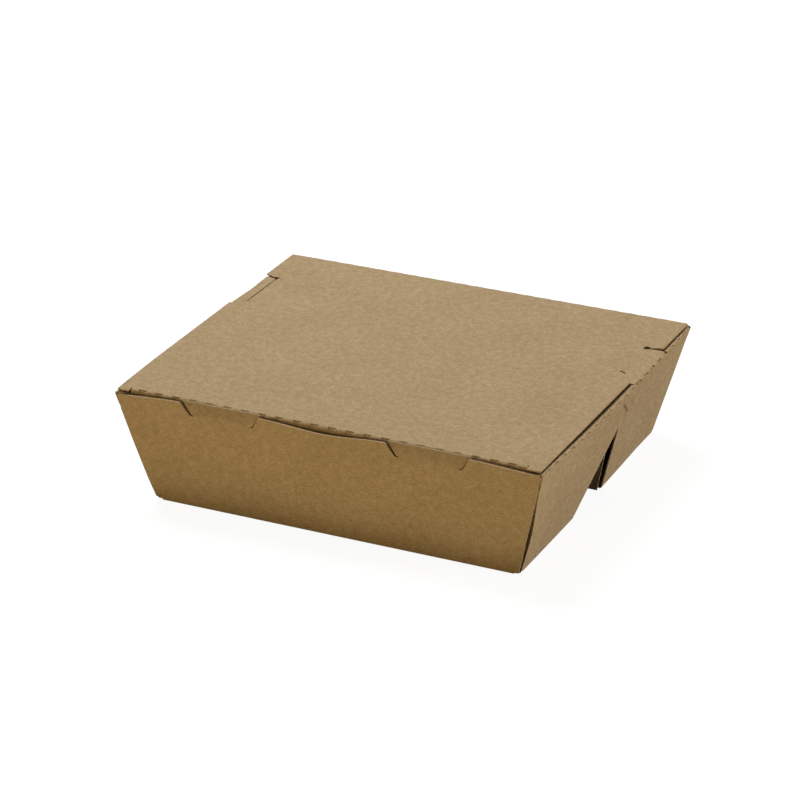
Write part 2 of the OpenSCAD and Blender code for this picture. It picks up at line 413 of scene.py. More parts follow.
def base_bow(y, hand):
    if hand > 0:
        ahead = 1 - np.abs((y - BASE_BOW_MIDDLE) / BASE_BOW_AHEAD) ** 6
        behind = 1 - np.clip((y - BASE_BOW_MIDDLE) / BASE_BOW_BEHIND, 0, 1) ** 1.6
        return BASE_BOW * np.where(y < BASE_BOW_MIDDLE, ahead, behind)
    return swell(y, *LEFT_BASE_SWELL)


def bow(y, z, hand):
    share = np.clip(z / RIM_H, 0, 1)
    return rim_bow(y, hand) * share + base_bow(y, hand) * (1 - share)


def rim_sag(y, hand):
    return RIM_SAG * hump(y, *RIM_SAG_AT) * (hand > 0)


# Strip of the tray: front wall, base, two divider panels, base and back wall. Its section goes up past every
# outline, and the lock tabs end under the lid's top.
STRIP_TOP = 52 * MM
LOCK_ROOT = 45.2 * MM
LOCK_UNDER = 0.15 * MM
slope = (DIVIDER_BACK - DIVIDER_FRONT) / 2 / RIDGE_H
divider_out = mid_z * math.hypot(1, slope)
ridge_y = (DIVIDER_FRONT + DIVIDER_BACK) / 2
ridge_mid = (ridge_y - DIVIDER_FRONT + divider_out) / slope
lock_top = LID_TOP - LOCK_UNDER
hinge_z = LID_TOP - mid_z
hinge_corner = (-front_y(hinge_z, mid_z), hinge_z)

strip = Section(
    [
        (front_y(STRIP_TOP, mid_z), STRIP_TOP),
        (front_y(mid_z, mid_z), mid_z),
        (DIVIDER_FRONT - divider_out + slope * mid_z, mid_z),
        (ridge_y, ridge_mid),
        (DIVIDER_BACK + divider_out - slope * mid_z, mid_z),
        (-front_y(mid_z, mid_z), mid_z),
        (-front_y(STRIP_TOP, mid_z), STRIP_TOP),
    ],
    [BASE_FOLD, BASE_FOLD, RIDGE_FOLD, BASE_FOLD, BASE_FOLD],
)
FRONT_RUN, BASE_FRONT_RUN, BASE_BACK_RUN, BACK_RUN = 0, 1, 4, 5

# Side wall section in X and Z: base edge from its seam with the base, wall, dust flap
SEAM_IN = 2 * MM
flap_end = RIM_L / 2 - DUST_W
seam_x = side_x(mid_z, mid_z) - SEAM_IN
rim_z = RIM_H - mid_z

side = Section(
    [
        (seam_x, mid_z),
        (side_x(mid_z, mid_z), mid_z),
        (side_x(rim_z, mid_z), rim_z),
        (RIM_L / 2 - DUST_BEND[0], rim_z - DUST_BEND[1]),
        (flap_end, rim_z - DUST_DROP),
    ],
    [BASE_FOLD, RIM_FOLD, DUST_FOLD],
)
WALL_RUN = 1
base_h1 = side.fold(0)[1]
rim_h0, rim_h1 = side.fold(1)
rim_middle = (rim_h0 + rim_h1) / 2
bend_h0 = side.fold(2)[0]


def front_s(z):
    return strip.where(FRONT_RUN, (front_y(z, mid_z), z))


def back_s(z):
    return strip.where(BACK_RUN, (-front_y(z, mid_z), z))


def wall_h(z):
    return side.where(WALL_RUN, (side_x(z, mid_z), z))


# Depths at which a base edge has points, shared by the base and the side walls
SEAM_END = 74 * MM
ridge_s0, ridge_s1 = strip.fold(1)[0], strip.fold(3)[1]
divider_start, divider_stop = strip.at(np.array([ridge_s0, ridge_s1]))[:, 0]
seam_front = spread(-SEAM_END, divider_start)
seam_back = spread(NOTCH_BACK, SEAM_END)


def seam(y, hand):
    return seam_x + bow(y, mid_z, hand)


# Cuts of the hinge crease from right to left, length of the card that stands in them, and its end gaps
hinge_cuts = cuts_along(middle=0, pitch=PITCH, count=22)[::-1]
HINGE_STUB = 0.35 * MM
STUB_GAP = 0.05 * MM

# Lock tabs on the front panel: free end and root along X
LOCKS = [
    dict(end=(-65.2 * MM, -29.4 * MM), root=(-60.5 * MM, -32.6 * MM)),
    dict(end=(28.0 * MM, 64.2 * MM), root=(32.3 * MM, 60.9 * MM)),
]

# Widths of the slits at a lock tab's ends, how far the tab springs in, and its rows of points above its root.
# Each slit ends in a hook: its length, and the heights above the root of its points.
SLIT_LEFT = 0.75 * MM
SLIT_RIGHT = 0.25 * MM
LOCK_FLEX = 2.0 * MM
LOCK_ROWS = np.array([0, 1.5, 3, 4.2]) * MM
HOOK = 1.0 * MM
HOOK_LEFT = (-0.1 * MM, 0.35 * MM, 0.5 * MM)
HOOK_RIGHT = (0.4 * MM, 0.25 * MM, -0.15 * MM)

# Height of the front panel's top edge along X, in millimetres: it hangs between the lock tabs
TOP_EDGE = [(-95, 49.1), (-66, 50.7), (-29, 50.3), (0, 48.8), (28, 50.8), (64, 50.7), (95, 49.5)]

# Heights, and distances there of the front panel's edge inside the side wall's outer face, in millimetres
FRONT_GAP = {
    1: [(0, 0.3), (10, 0.4), (20, 0.6), (35, 0.6), (50.2, 1.1)],
    -1: [(0, 0.8), (30, 0.15)],
}

# Lower ends of the front panel's side edges, how far its foot ends inside the base's, and how its left edge
# rounds in above the foot, by shares of the bevel at two heights
FRONT_EDGE_LOW = {1: 0.9 * MM, -1: 2.6 * MM}
FRONT_FOOT_IN = {1: 1.5 * MM, -1: BEVEL_RUN}
LEFT_ROUNDING = [(0.08, 1.8 * MM), (0.3, 1.2 * MM)]
BACK_EDGE_TOP = 48.6 * MM

# Steps between points along the front panel's edges and over the ridge
EDGE_STEP = 4 * MM
RIDGE_STEP = 3 * MM


def free_top(x):
    xs, zs = np.array(TOP_EDGE).T * MM
    i = int(np.clip(np.searchsorted(xs, x) - 1, 0, len(xs) - 2))
    t = min(1, max(0, (x - xs[i]) / (xs[i + 1] - xs[i])))
    return zs[i] + (zs[i + 1] - zs[i]) * t * t * (3 - 2 * t)


def lock_share(z):
    """Share of a lock tab's height above its root."""
    return (z - LOCK_ROOT) / (lock_top - LOCK_ROOT)


def lock_outline(lock):
    """The panel's edge past one lock tab, from left to right, with the slits at its ends."""
    (e0, e1), (r0, r1) = lock["end"], lock["root"]
    top0, top1 = free_top(e0), free_top(e1)
    share0, share1 = lock_share(top0), lock_share(top1)
    left = [LOCK_ROOT + z for z in HOOK_LEFT]
    right = [LOCK_ROOT + z for z in HOOK_RIGHT]
    return [
        (r0 + (e0 - r0) * share0 - SLIT_LEFT, top0),
        (r0 - SLIT_LEFT, LOCK_ROOT),
        (r0 + HOOK, left[0]),
        (r0 + HOOK, left[1]),
        (r0, left[2]),
        (e0, lock_top),
        (e1, lock_top),
        (r1, right[0]),
        (r1 - HOOK, right[1]),
        (r1 - HOOK, right[2]),
        (r1 + SLIT_RIGHT, LOCK_ROOT),
        (r1 + (e1 - r1) * share1 + SLIT_RIGHT, top1),
    ]


def front_edge(hand):
    """One side edge of the front panel, from its top down to the base fold, as (x, z), and its foot."""
    top = free_top(hand * RIM_L / 2)
    heights, gaps = np.array(FRONT_GAP[hand]).T * MM

    def edge(z):
        out = bow(-BASE_D / 2, z, 1) if hand > 0 else 0
        return side_x(z, 0) + out - np.interp(z, heights, gaps)

    points = arc((edge(top) - CORNER_R, top - CORNER_R), CORNER_R, 90, 15, 4)
    points += [(edge(z), z) for z in spread(top - CORNER_R, FRONT_EDGE_LOW[hand], EDGE_STEP)[1:]]
    if hand < 0:
        points += [(edge(z) - BEVEL_RUN * share, z) for share, z in LEFT_ROUNDING]
    return points, BASE_L / 2 - FRONT_FOOT_IN[hand]


hinge_trim = HINGE_FOLD * math.tan((math.pi / 2 + math.atan(lean_y)) / 2)
hinge_s = back_s(hinge_z) - hinge_trim
ridge_rows = np.unique(np.r_[spread(ridge_s0, ridge_s1, RIDGE_STEP), strip.rows()])
ridge_rows = ridge_rows[(ridge_rows >= ridge_s0) & (ridge_rows <= ridge_s1)]


def hinge_stubs():
    """Card standing straight in the cuts of the hinge crease, on one half of its length."""
    points = []
    for cut in hinge_cuts:
        if cut > 0:
            low, high = cut - CUT / 2 + STUB_GAP, cut + CUT / 2 - STUB_GAP
            points += [(high, 0), (high, HINGE_STUB), (low, HINGE_STUB), (low, 0)]
    return points


def strip_edge(hand):
    """One end of the strip, from the front fold to the hinge crease, as (distance from the middle, s)."""
    yz = strip.at(ridge_rows)
    divider = [
        (side_x(z, CARD) + bow(y, z, hand) - DIVIDER_GAP, s) for s, (y, z) in zip(ridge_rows, yz)
    ]
    foot = front_edge(hand)[1]
    back_foot = BASE_L / 2 - BEVEL_RUN
    return (
        [(foot, s) for s in strip.fold(0)]
        + [(seam(y, hand), strip.where(BASE_FRONT_RUN, (y, mid_z))) for y in seam_front]
        + divider[1:-1]
        + [(seam(divider_stop, hand), ridge_s1)]
        + [(seam(y, hand), strip.where(BASE_BACK_RUN, (y, mid_z))) for y in seam_back]
        + [(back_foot, s) for s in strip.fold(4)]
        + [(side_x(z, 0) - BACK_GAP, back_s(z)) for z in spread(BEVEL_RISE, BACK_EDGE_TOP)]
        + [(side_x(RIM_H, 0) - CORNER_R, hinge_s)]
        + [(x, hinge_s + s) for x, s in hinge_stubs()]
    )


def on_lock(u, v):
    """Which points are on a lock tab."""
    share = lock_share(strip.at(v)[:, 1])
    found = np.zeros(len(u), bool)
    for lock in LOCKS:
        low, high = [r + (e - r) * share for e, r in zip(lock["end"], lock["root"])]
        found |= (u > low - SLIT_LEFT / 2) & (u < high + SLIT_RIGHT / 2)
    return found & (v < front_s(LOCK_ROOT))


def place_strip(u, v, locked):
    y, z = strip.at(v).T
    y = y + np.where(locked, LOCK_FLEX * np.clip(lock_share(z), 0, 1) ** 1.5, 0)
    return np.stack([u, y, z], 1)


def tray_strip():
    right, left = front_edge(1)[0], front_edge(-1)[0]
    stops = [-left[0][0], *[x for lock in LOCKS for x in lock["end"]], right[0][0]]
    top = []
    for i, (start, stop) in enumerate(zip(stops[::2], stops[1::2])):
        top += [(x, free_top(x)) for x in spread(start, stop, EDGE_STEP)[1:-1]]
        if i < len(LOCKS):
            top += lock_outline(LOCKS[i])
    outline = (
        [(x, front_s(z)) for x, z in mirrored(left)[::-1] + top + right]
        + strip_edge(1)
        + mirrored(strip_edge(-1))[::-1]
    )
    rows = np.concatenate([
        spread(front_s(lock_top), strip.fold(0)[0]),
        front_s(LOCK_ROOT) - LOCK_ROWS,
        strip.rows(),
        [strip.where(BASE_FRONT_RUN, (y, mid_z)) for y in seam_front],
        ridge_rows,
        [strip.where(BASE_BACK_RUN, (y, mid_z)) for y in seam_back],
        spread(strip.fold(4)[1], hinge_s),
    ])
    columns = spread(-RIM_L / 2, RIM_L / 2)
    return Sheet(outline, [], rows, columns, place_strip, hand=-1, part=on_lock)


# Cuts of the rims' creases along Y and of the front crease along X, and half their widths
side_cuts = cuts_along(middle=-1.4 * MM, pitch=PITCH, count=20)
tuck_cuts = cuts_along(middle=-1.5 * MM, pitch=7.93 * MM, count=22)
RIM_SLIT = 0.2 * MM
FRONT_SLIT = 0.06 * MM

# Past a cut of the front crease the card drops and goes straight on to a foot below the fold, but only by a
# share of the way, which is smaller where a lock tab holds it
CUT_DROP = 0.15 * MM
STUB_FOOT = 0.5 * MM
CUT_SHARE = 0.8
HELD_SHARE = 0.45

# The lid's side tabs: distance of the root from the middle, depths of both ends at the root and at the lid's
# edge, depth of the score line at the root, fall at both ends of the turn, distance of the turn inside the
# rim, radius at the end of the back slit, and the small cut at the front end in millimetres from the root
TABS = {
    1: dict(
        root=88.0 * MM, inner=(21.8 * MM, 49.4 * MM), outer=(13.8 * MM, 51.4 * MM), score=0.05 * MM,
        dip=(0.7 * MM, 1.0 * MM), turn=1.7 * MM, hole=1.55 * MM,
        dash=((0.9, 0.3), (-1.2, 1.1), (-1.5, 0.3), (0.9, -0.7)),
    ),
    -1: dict(
        root=90.2 * MM, inner=(24.4 * MM, 53.0 * MM), outer=(19.6 * MM, 55.0 * MM), score=0.9 * MM,
        dip=(0.2 * MM, 0.4 * MM), turn=1.2 * MM, hole=1.1 * MM,
        dash=((0.3, 0.0), (0.1, 0.05), (0.3, -0.1)),
    ),
}

# Length of a tab's tip past its turn and its taper, widths of the slits at its ends, where they meet the
# hole and the small cut, and half the width of its score line
TAB_TIP = 1.2 * MM
TIP_TAPER = 0.2 * MM
TAB_SLIT_FRONT = 0.03 * MM
TAB_SLIT_BACK = 1.2 * MM
HOLE_MOUTH = 1.6 * MM
DASH_MOUTH = (2.2 * MM, -1.5 * MM)
SCORE_HALF = 0.55 * MM

# Dent in the right wall above its notch, as Y and Z in millimetres. Its sides are shifted along Y, and by a
# share of that along Z.
DENT = [(4.5, 44.6), (7.2, 42.9), (9.7, 40.9), (11.6, 39.2), (12.6, 38.0), (12.3, 36.9), (11.5, 36.4)]
DENT_DEPTH = 0.9 * MM
DENT_HALF = 0.6 * MM
DENT_RISE = 0.6
dent_path = np.array([(y * MM, wall_h(z * MM)) for y, z in DENT])

# Right front corner: the wall's fold stands back from the panel, by more around a middle height
SLACK_LEAST = 0.4 * MM
SLACK_MORE = 3.2 * MM
SLACK_AT = (17 * MM, 23 * MM)

# Gaps of the corners' folds to the front panel's face and behind the back panel
FOLD_GAP_FRONT = 0.05 * MM
FOLD_GAP_BACK = 0.03 * MM

# Front glue flaps stand off the panel by a set amount, less the slack. The right one has a pocket of more,
# around a middle height, that fades along the flap.
FLAP_SET_BACK = 1.5 * MM
FLAP_LEAST = 0.3 * MM
FLAP_EASE = 0.4 * MM
CORNER_POCKET = 3.5 * MM
POCKET_AT = (14 * MM, 30 * MM)
POCKET_REACH = 4 * MM

# Left front corner: the wall stands out beside its fold, less under the rim, and in at its foot
CORNER_FLARE = 0.6 * MM
FLARE_RISE = 25 * MM
FLARE_EASE = 2 * MM
FLARE_AT_RIM = 0.3
FLARE_FOOT = 9 * MM
FLARE_REACH = 7 * MM

# How far the rims reach past their rounded corners, in front and behind
RIM_REACH = {1: (0.5 * MM, 0.8 * MM), -1: (0.9 * MM, 0)}

# Glue flaps: foot, step up to the wall's end, chamfers along the flap and up it, and distance past the
# corner over which the wall's bow fades
GLUE_FOOT = 1.2 * MM
GLUE_STEP = 0.5 * MM
GLUE_CHAMFER = (2 * MM, 3 * MM)
BOW_FADE = 10 * MM

# Lines of mesh points up a corner, as shares of its arc, and their distance from the flap's ends; columns of
# points on the dust flaps
CORNER_LINES = (0, 0.25, 0.5, 0.75, 1, 1.3, 1.7, 2.3, 3.3, 6, 10, 16)
LINE_END = 0.2 * MM
DUST_COLUMNS = (-95 * MM, -88 * MM, 88 * MM, 95 * MM)

# How far the ends of a dust flap's slot lie behind the ends of its tab, and its outer side past the fold
SLOT_PAST = (-0.1 * MM, 0.9 * MM)
SLOT_OUT = 0.05 * MM

corner_turn = CORNER_FOLD * math.pi / 2
glue_high = RIM_H - GLUE_DROP
glue_top = wall_h(glue_high + GLUE_STEP)


def corner_slack(z, hand):
    return (SLACK_LEAST + SLACK_MORE * hump(z, *SLACK_AT)) * (hand > 0)


def wall_end(z, hand, front=False):
    """Distance of a corner's fold from the middle: the front one comes level with its panel's face."""
    inset = np.where(front, mid_z + FOLD_GAP_FRONT + corner_slack(z, hand), 1.5 * CARD + FOLD_GAP_BACK)
    return -front_y(z, inset) - CORNER_FOLD


def glue_end(z, hand):
    """Distance of a glue flap's end from the middle, along the card."""
    return wall_end(z, hand) + corner_turn + side_x(z, mid_z) - CORNER_FOLD - (BASE_L / 2 - GLUE_W)


def wall_outline(hand):
    """A side wall with its dust flap and both glue flaps, as (distance along the card, h)."""
    high, low = wall_h(glue_high), wall_h(GLUE_FOOT)
    along, up = GLUE_CHAMFER
    flap = [
        (glue_end(glue_high, hand) - along, high),
        *[(glue_end(z, hand), wall_h(z)) for z in (glue_high - up, GLUE_FOOT + up)],
        (glue_end(GLUE_FOOT, hand) - along, low),
    ]

    def end(front, reach):
        """One end of the wall, from the dust flap down to its foot."""
        rim_end = RIM_D / 2 - CORNER_R
        at_high, at_low = [wall_end(z, hand, front) for z in (glue_high, GLUE_FOOT)]
        return [
            (rim_end - DUST_SLANT, side.length),
            (rim_end + reach, rim_h1),
            (rim_end + reach, rim_h0),
            (at_high, glue_top),
            (at_high + corner_turn, high),
            *flap,
            (at_low + corner_turn, low),
            (at_low, low),
        ]

    front_reach, back_reach = RIM_REACH[hand]
    tip_y, tip_z = NOTCH_TIP
    return (
        [(y, 0.0) for y in seam_front[::-1]]
        + [(-SEAM_END, base_h1)]
        + mirrored(end(True, front_reach))[::-1]
        + end(False, back_reach)
        + [(SEAM_END, base_h1)]
        + [(y, 0.0) for y in seam_back[::-1]]
        + [(NOTCH_BACK, base_h1), (tip_y, wall_h(tip_z)), (divider_start, base_h1)]
    )


def rim_holes(hand):
    """The cuts of a rim's crease, and the slot for the lid's tab, into which the cuts beside it open."""
    slot0, slot1 = [y + past for y, past in zip(TABS[hand]["outer"], SLOT_PAST)]
    in_slot = [y for y in side_cuts if slot0 - CUT / 2 < y < slot1 + CUT / 2]
    slot_out, cut_out = rim_h1 + SLOT_OUT, rim_middle - RIM_SLIT
    battlement = []
    for y in in_slot:
        a0, a1 = max(y - CUT / 2, slot0), min(y + CUT / 2, slot1)
        battlement += [(a0, slot_out), (a0, cut_out), (a1, cut_out), (a1, slot_out)]
    slot_in = rim_h1 + SLOT_W
    slits = [slit(y, rim_middle, RIM_SLIT) for y in side_cuts if y not in in_slot]
    return slits + [[(slot0, slot_in), *battlement, (slot1, slot_in)]]


def corner_lines(hand):
    """Lines of mesh points up both corners of a wall and the glue flaps beside them."""
    zs = spread(GLUE_FOOT + LINE_END, glue_high - LINE_END)
    lines = []
    for share in (-SUPPORT / corner_turn, *CORNER_LINES):
        lines.append([(wall_end(z, hand) + corner_turn * share, wall_h(z)) for z in zs])
        lines.append([(-wall_end(z, hand, True) - corner_turn * share, wall_h(z)) for z in zs])
    return lines


def set_back(z, reach, hand):
    """How far a front glue flap stands off the front panel."""
    past_corner = np.clip(reach - corner_turn, 0, None)
    pocket = CORNER_POCKET * hump(z, *POCKET_AT) * np.exp(-past_corner / POCKET_REACH)
    back = np.clip(FLAP_SET_BACK - corner_slack(z, hand), FLAP_LEAST, None) + pocket * (hand > 0)
    return back * (1 - np.exp(-np.clip(reach - corner_turn / 3, 0, None) / FLAP_EASE))


def left_flare(z, reach):
    """How far the left wall stands out beside its front corner."""
    share = np.clip(z / FLARE_RISE, 0, 1) * np.clip((RIM_H - z) / FLARE_EASE, FLARE_AT_RIM, 1)
    share = share - np.clip(1 - z / FLARE_FOOT, 0, 1)
    return CORNER_FLARE * share * np.clip(1 + reach / FLARE_REACH, 0, 1) ** 2


def place_wall(a, h, past, hand):
    """Points of a side wall and its flaps, from the distance along the card and the section's."""
    share = cut_share(a, side_cuts) * (h > base_h1 + MM) * (h < bend_h0)
    xz = side.at(h) * (1 - share[:, None]) + side.straight(h, 1, past) * share[:, None]
    x, z = xz.T
    front = a < 0
    end = wall_end(z, hand, front)
    reach = np.abs(a) - end
    angle = np.clip(reach / CORNER_FOLD, 0, math.pi / 2)
    past_corner = np.clip(reach - corner_turn, 0, None)
    glued = (reach > 0) & (h < glue_top)
    back = set_back(z, reach, hand) * front
    y = np.where(glued, np.sign(a) * (end + CORNER_FOLD * np.sin(angle)) + back, a)
    x = x - np.where(glued, CORNER_FOLD * (1 - np.cos(angle)) + past_corner, 0)
    out = bow(y, z, hand)
    if hand < 0:
        out = out + left_flare(z, reach) * front
    x = x + out * np.where(glued, np.clip(1 - past_corner / BOW_FADE, 0, 1), 1)
    if hand > 0:
        off_dent = near_path(np.stack([a, h], 1), dent_path)
        x = x - DENT_DEPTH * np.clip(1 - off_dent / DENT_HALF, 0, 1)
    z = z - rim_sag(y, hand) * np.clip((z - MM) / RIM_H, 0, 1)
    return np.stack([hand * x, y, z], 1)


def side_wall(hand):
    rows = np.concatenate([side.rows(), spread(base_h1, rim_h0), spread(rim_h1, side.length)])
    columns = cut_columns(side_cuts, DUST_COLUMNS)
    lines = corner_lines(hand)
    if hand > 0:
        lines += [dent_path + [off, DENT_RISE * off] for off in (-DENT_HALF, 0, DENT_HALF)]

    def past_fold(a, h):
        return h > rim_middle

    def place(a, h, past):
        return place_wall(a, h, past, hand)

    return Sheet(
        wall_outline(hand), rim_holes(hand), rows, columns, place, hand=hand, part=past_fold, lines=lines
    )


# Lid: its section in Y and Z runs from the hinge crease to the end of the tuck flap
lid_back = hinge_corner[0] - hinge_trim
tuck_corner = (LID_FRONT + mid_z / math.cos(TUCK_NECK_LEAN) + mid_z * math.tan(TUCK_NECK_LEAN), hinge_z)
neck = (tuck_corner[0] + TUCK_NECK * math.tan(TUCK_NECK_LEAN), hinge_z - TUCK_NECK)
tuck_z = LID_TOP - TUCK_H
lid_section = Section(
    [
        (lid_back, hinge_z),
        tuck_corner,
        neck,
        (neck[0] + (neck[1] - tuck_z) * math.tan(TUCK_LEAN), tuck_z),
    ],
    [FRONT_FOLD, TUCK_CURVE],
)
tuck_s0, tuck_s1 = lid_section.fold(0)
tuck_end = lid_section.length

# Line of the cuts past the start of the front fold
FRONT_CUT_IN = 0.1 * MM
front_cut = tuck_s0 + FRONT_CUT_IN

# Left edge of the lid: it stands out, a little more at the back, and is drawn in at the front
LEFT_OUT = 0.15 * MM
LEFT_SKEW = 0.35 * MM
LEFT_SKEW_AT = 82 * MM
DRAWN_IN = 0.9 * MM
DRAWN_FROM = -40 * MM
DRAWN_LENGTH = 42 * MM

# Relief cuts beside the tuck flap: depth before the fold, distances of both ends of the outer side from the
# flap, and where the lid's free corners start outside it
RELIEF = 0.6 * MM
RELIEF_OUT = (0.5 * MM, 0.35 * MM)
FREE_FROM = 0.2 * MM

# Points on the lid: step along its side edges, ends of the lines on the tabs' scores and turns, lines of a
# turn as shares of its arc, and outermost columns
LID_EDGE_STEP = 9 * MM
SCORE_ENDS = (1.2 * MM, 1.4 * MM)
TURN_ENDS = 0.4 * MM
TURN_LINES = (-0.5, 0, 0.25, 0.5, 0.75, 1)
LID_COLUMN = 93 * MM
tab_bend = TAB_FOLD * math.pi / 2


def lid_s(y):
    return lid_back - y


def lid_edge(y, hand):
    """Distance of the lid's side edge from the middle of the box."""
    if hand > 0:
        return LID_L / 2 + LID_SHIFT
    drawn = max(0, (DRAWN_FROM - y) / DRAWN_LENGTH) ** 2
    return LID_L / 2 - LID_SHIFT + LEFT_OUT + LEFT_SKEW * y / LEFT_SKEW_AT - DRAWN_IN * drawn


def tab_turn(y, hand):
    """Distance from the middle of the box at which a side tab turns down beside the wall."""
    return RIM_L / 2 + rim_bow(y, hand) - TABS[hand]["turn"]


def lid_side(hand):
    """One side edge of the lid from the hinge to the front corner, with its tab, as (x, s)."""
    tab = TABS[hand]
    root, (in0, in1), (out0, out1) = tab["root"], tab["inner"], tab["outer"]
    tip = tab_bend + TAB_TIP
    wide = TAB_SLIT_BACK
    mouth_x, mouth_y = root + DASH_MOUTH[0], in0 + DASH_MOUTH[1]
    points = [
        *[(lid_edge(y, hand), y) for y in spread(lid_back, out1 + wide, LID_EDGE_STEP)],
        (root + HOLE_MOUTH, in1 + wide),
        *arc((root, in1 + wide / 2), tab["hole"], 50, 310, 10),
        (root + HOLE_MOUTH, in1),
        (lid_edge(out1, hand), out1),
        *[(tab_turn(y, hand) + tip, y) for y in spread(out1 - TIP_TAPER, out0 + TIP_TAPER)],
        (lid_edge(out0, hand), out0),
        (mouth_x, mouth_y),
        *[(root + x * MM, in0 + y * MM) for x, y in tab["dash"]],
        (mouth_x, mouth_y - 3 * TAB_SLIT_FRONT),
        (lid_edge(out0, hand), out0 - TAB_SLIT_FRONT),
        *[(lid_edge(y, hand), y) for y in spread(out0, LID_CORNER, LID_EDGE_STEP)[1:]],
    ]
    return [(x, lid_s(y)) for x, y in points]


def lid_half(hand):
    """One side of the lid with its free corner, relief cut and half of the tuck flap, as (x, s)."""
    foot = TUCK_W / 2 - TUCK_TAPER
    relief = tuck_s0 - RELIEF
    tuck = [
        (TUCK_W / 2 + RELIEF_OUT[0], lid_s(LID_CORNER)),
        (TUCK_W / 2 + RELIEF_OUT[1], relief),
        (TUCK_W / 2, relief),
        (TUCK_W / 2, tuck_s1),
        *arc((foot - TUCK_R, tuck_end - TUCK_R), TUCK_R, 0, 90, 8),
    ]
    return lid_side(hand) + [(x + LID_SHIFT * hand, s) for x, s in tuck]


def tab_lines():
    """Lines of mesh points along the side tabs' scores and turns."""
    lines = []
    for hand, tab in TABS.items():
        ys = spread(tab["inner"][0] + SCORE_ENDS[0], tab["inner"][1] - SCORE_ENDS[1])
        for off in (-SCORE_HALF, 0, SCORE_HALF):
            lines.append([(hand * (tab["root"] + off), lid_s(y)) for y in ys])
        ys = spread(tab["outer"][0] + TURN_ENDS, tab["outer"][1] - TURN_ENDS)
        for share in TURN_LINES:
            lines.append([(hand * (tab_turn(y, hand) + tab_bend * share), lid_s(y)) for y in ys])
    return lines


def lid_part(u, v):
    """Which side's tab a point is on, whether it is past the front crease, and on a free corner."""
    y = lid_back - v
    tab_of = np.zeros(len(u), int)
    for hand, tab in TABS.items():
        x = u * hand - tab["root"]
        (in0, in1), (out0, out1) = tab["inner"], tab["outer"]
        share = np.clip(x / (lid_edge(out0, hand) - tab["root"]), 0, 1)
        low = in0 + (out0 - in0) * share - TAB_SLIT_FRONT / 2
        high = in1 + (out1 - in1) * share + TAB_SLIT_BACK / 2
        tab_of[(x > 0) & (y > low) & (y < high)] = hand
    free = np.abs(u - LID_SHIFT) > TUCK_W / 2 + FREE_FROM
    return tab_of, v > front_cut, free


def drop_past_cuts(u, v, y, z, past):
    """The tuck flap's points, dropped towards a straight line past each cut of the front crease."""
    (y0, z0), (y1, z1) = lid_section.at(np.array([tuck_s0, tuck_s1 + STUB_FOOT]))
    down = (v - tuck_s0) / (tuck_s1 + STUB_FOOT - tuck_s0)
    held = sum((u > lock["end"][0]) & (u < lock["end"][1]) for lock in LOCKS)
    drop = np.where(held, HELD_SHARE, CUT_SHARE)
    share = cut_share(u, tuck_cuts) * past * (down < 1) * drop
    y = y + (y0 + (y1 - y0) * down - y) * share
    z = z + (z0 + (z1 - z0) * down - CUT_DROP * (1 - down) - z) * share
    return y, z


def turn_tab(out, y, hand):
    """A side tab's distances from the middle of the box, and its fall to the rim and down beside it."""
    root, turn = TABS[hand]["root"], tab_turn(y, hand)
    reach = np.clip((out - root) / (turn - root), 0, None)
    dip = np.interp(y, TABS[hand]["outer"], TABS[hand]["dip"]) + rim_sag(y, hand)
    angle = np.clip((out - turn) / TAB_FOLD, 0, math.pi / 2)
    beyond = np.clip(out - turn - tab_bend, 0, None)
    fall = dip * np.minimum(reach, 1) ** 1.4 + TAB_FOLD * (1 - np.cos(angle)) + beyond
    return np.minimum(out, turn) + TAB_FOLD * np.sin(angle), fall


def place_lid(u, v, kind):
    tab_of, past, free = kind
    flat = lid_section.straight(v, 0, np.zeros(len(v), bool))
    y, z = np.where(free[:, None], flat, lid_section.at(v)).T
    y, z = drop_past_cuts(u, v, y, z, past)
    slack = TUCK_SLACK * hump(u, 0, TUCK_SLACK_HALF)
    y = y + slack * np.clip(v - tuck_s1, 0, None) * ~free
    x = u.copy()
    for hand, tab in TABS.items():
        on = tab_of == hand
        out, fall = turn_tab(u[on] * hand, y[on], hand)
        x[on] = hand * out
        z[on] -= fall
        inner = (y > tab["inner"][0]) & (y < tab["inner"][1])
        z -= inner * tab["score"] * np.clip(1 - np.abs(u * hand - tab["root"]) / SCORE_HALF, 0, 1)
    return np.stack([x, y, z], 1)


def lid_sheet():
    back = [(x, -s) for x, s in hinge_stubs()]
    outline = back[::-1] + lid_half(1) + mirrored(lid_half(-1))[::-1] + mirrored(back)
    holes = [slit(x, front_cut, FRONT_SLIT) for x in tuck_cuts]
    rows = np.concatenate([spread(0, tuck_s0), lid_section.rows(), spread(tuck_s1, tuck_end)])
    columns = cut_columns(tuck_cuts, [x + PITCH / 2 for x in tuck_cuts] + [-LID_COLUMN, LID_COLUMN])
    return Sheet(outline, holes, rows, columns, place_lid, hand=-1, part=lid_part, lines=tab_lines())


# Runs of card beside the hinge's fold, distance of its bridges' outer ends inside the lid's edges, and the
# shares of the way between both ends of the fold at which two points are taken
HINGE_RUN = 3 * MM
BRIDGE_IN = 1.5 * MM
BLEND_SHARES = (0.25, 0.75)


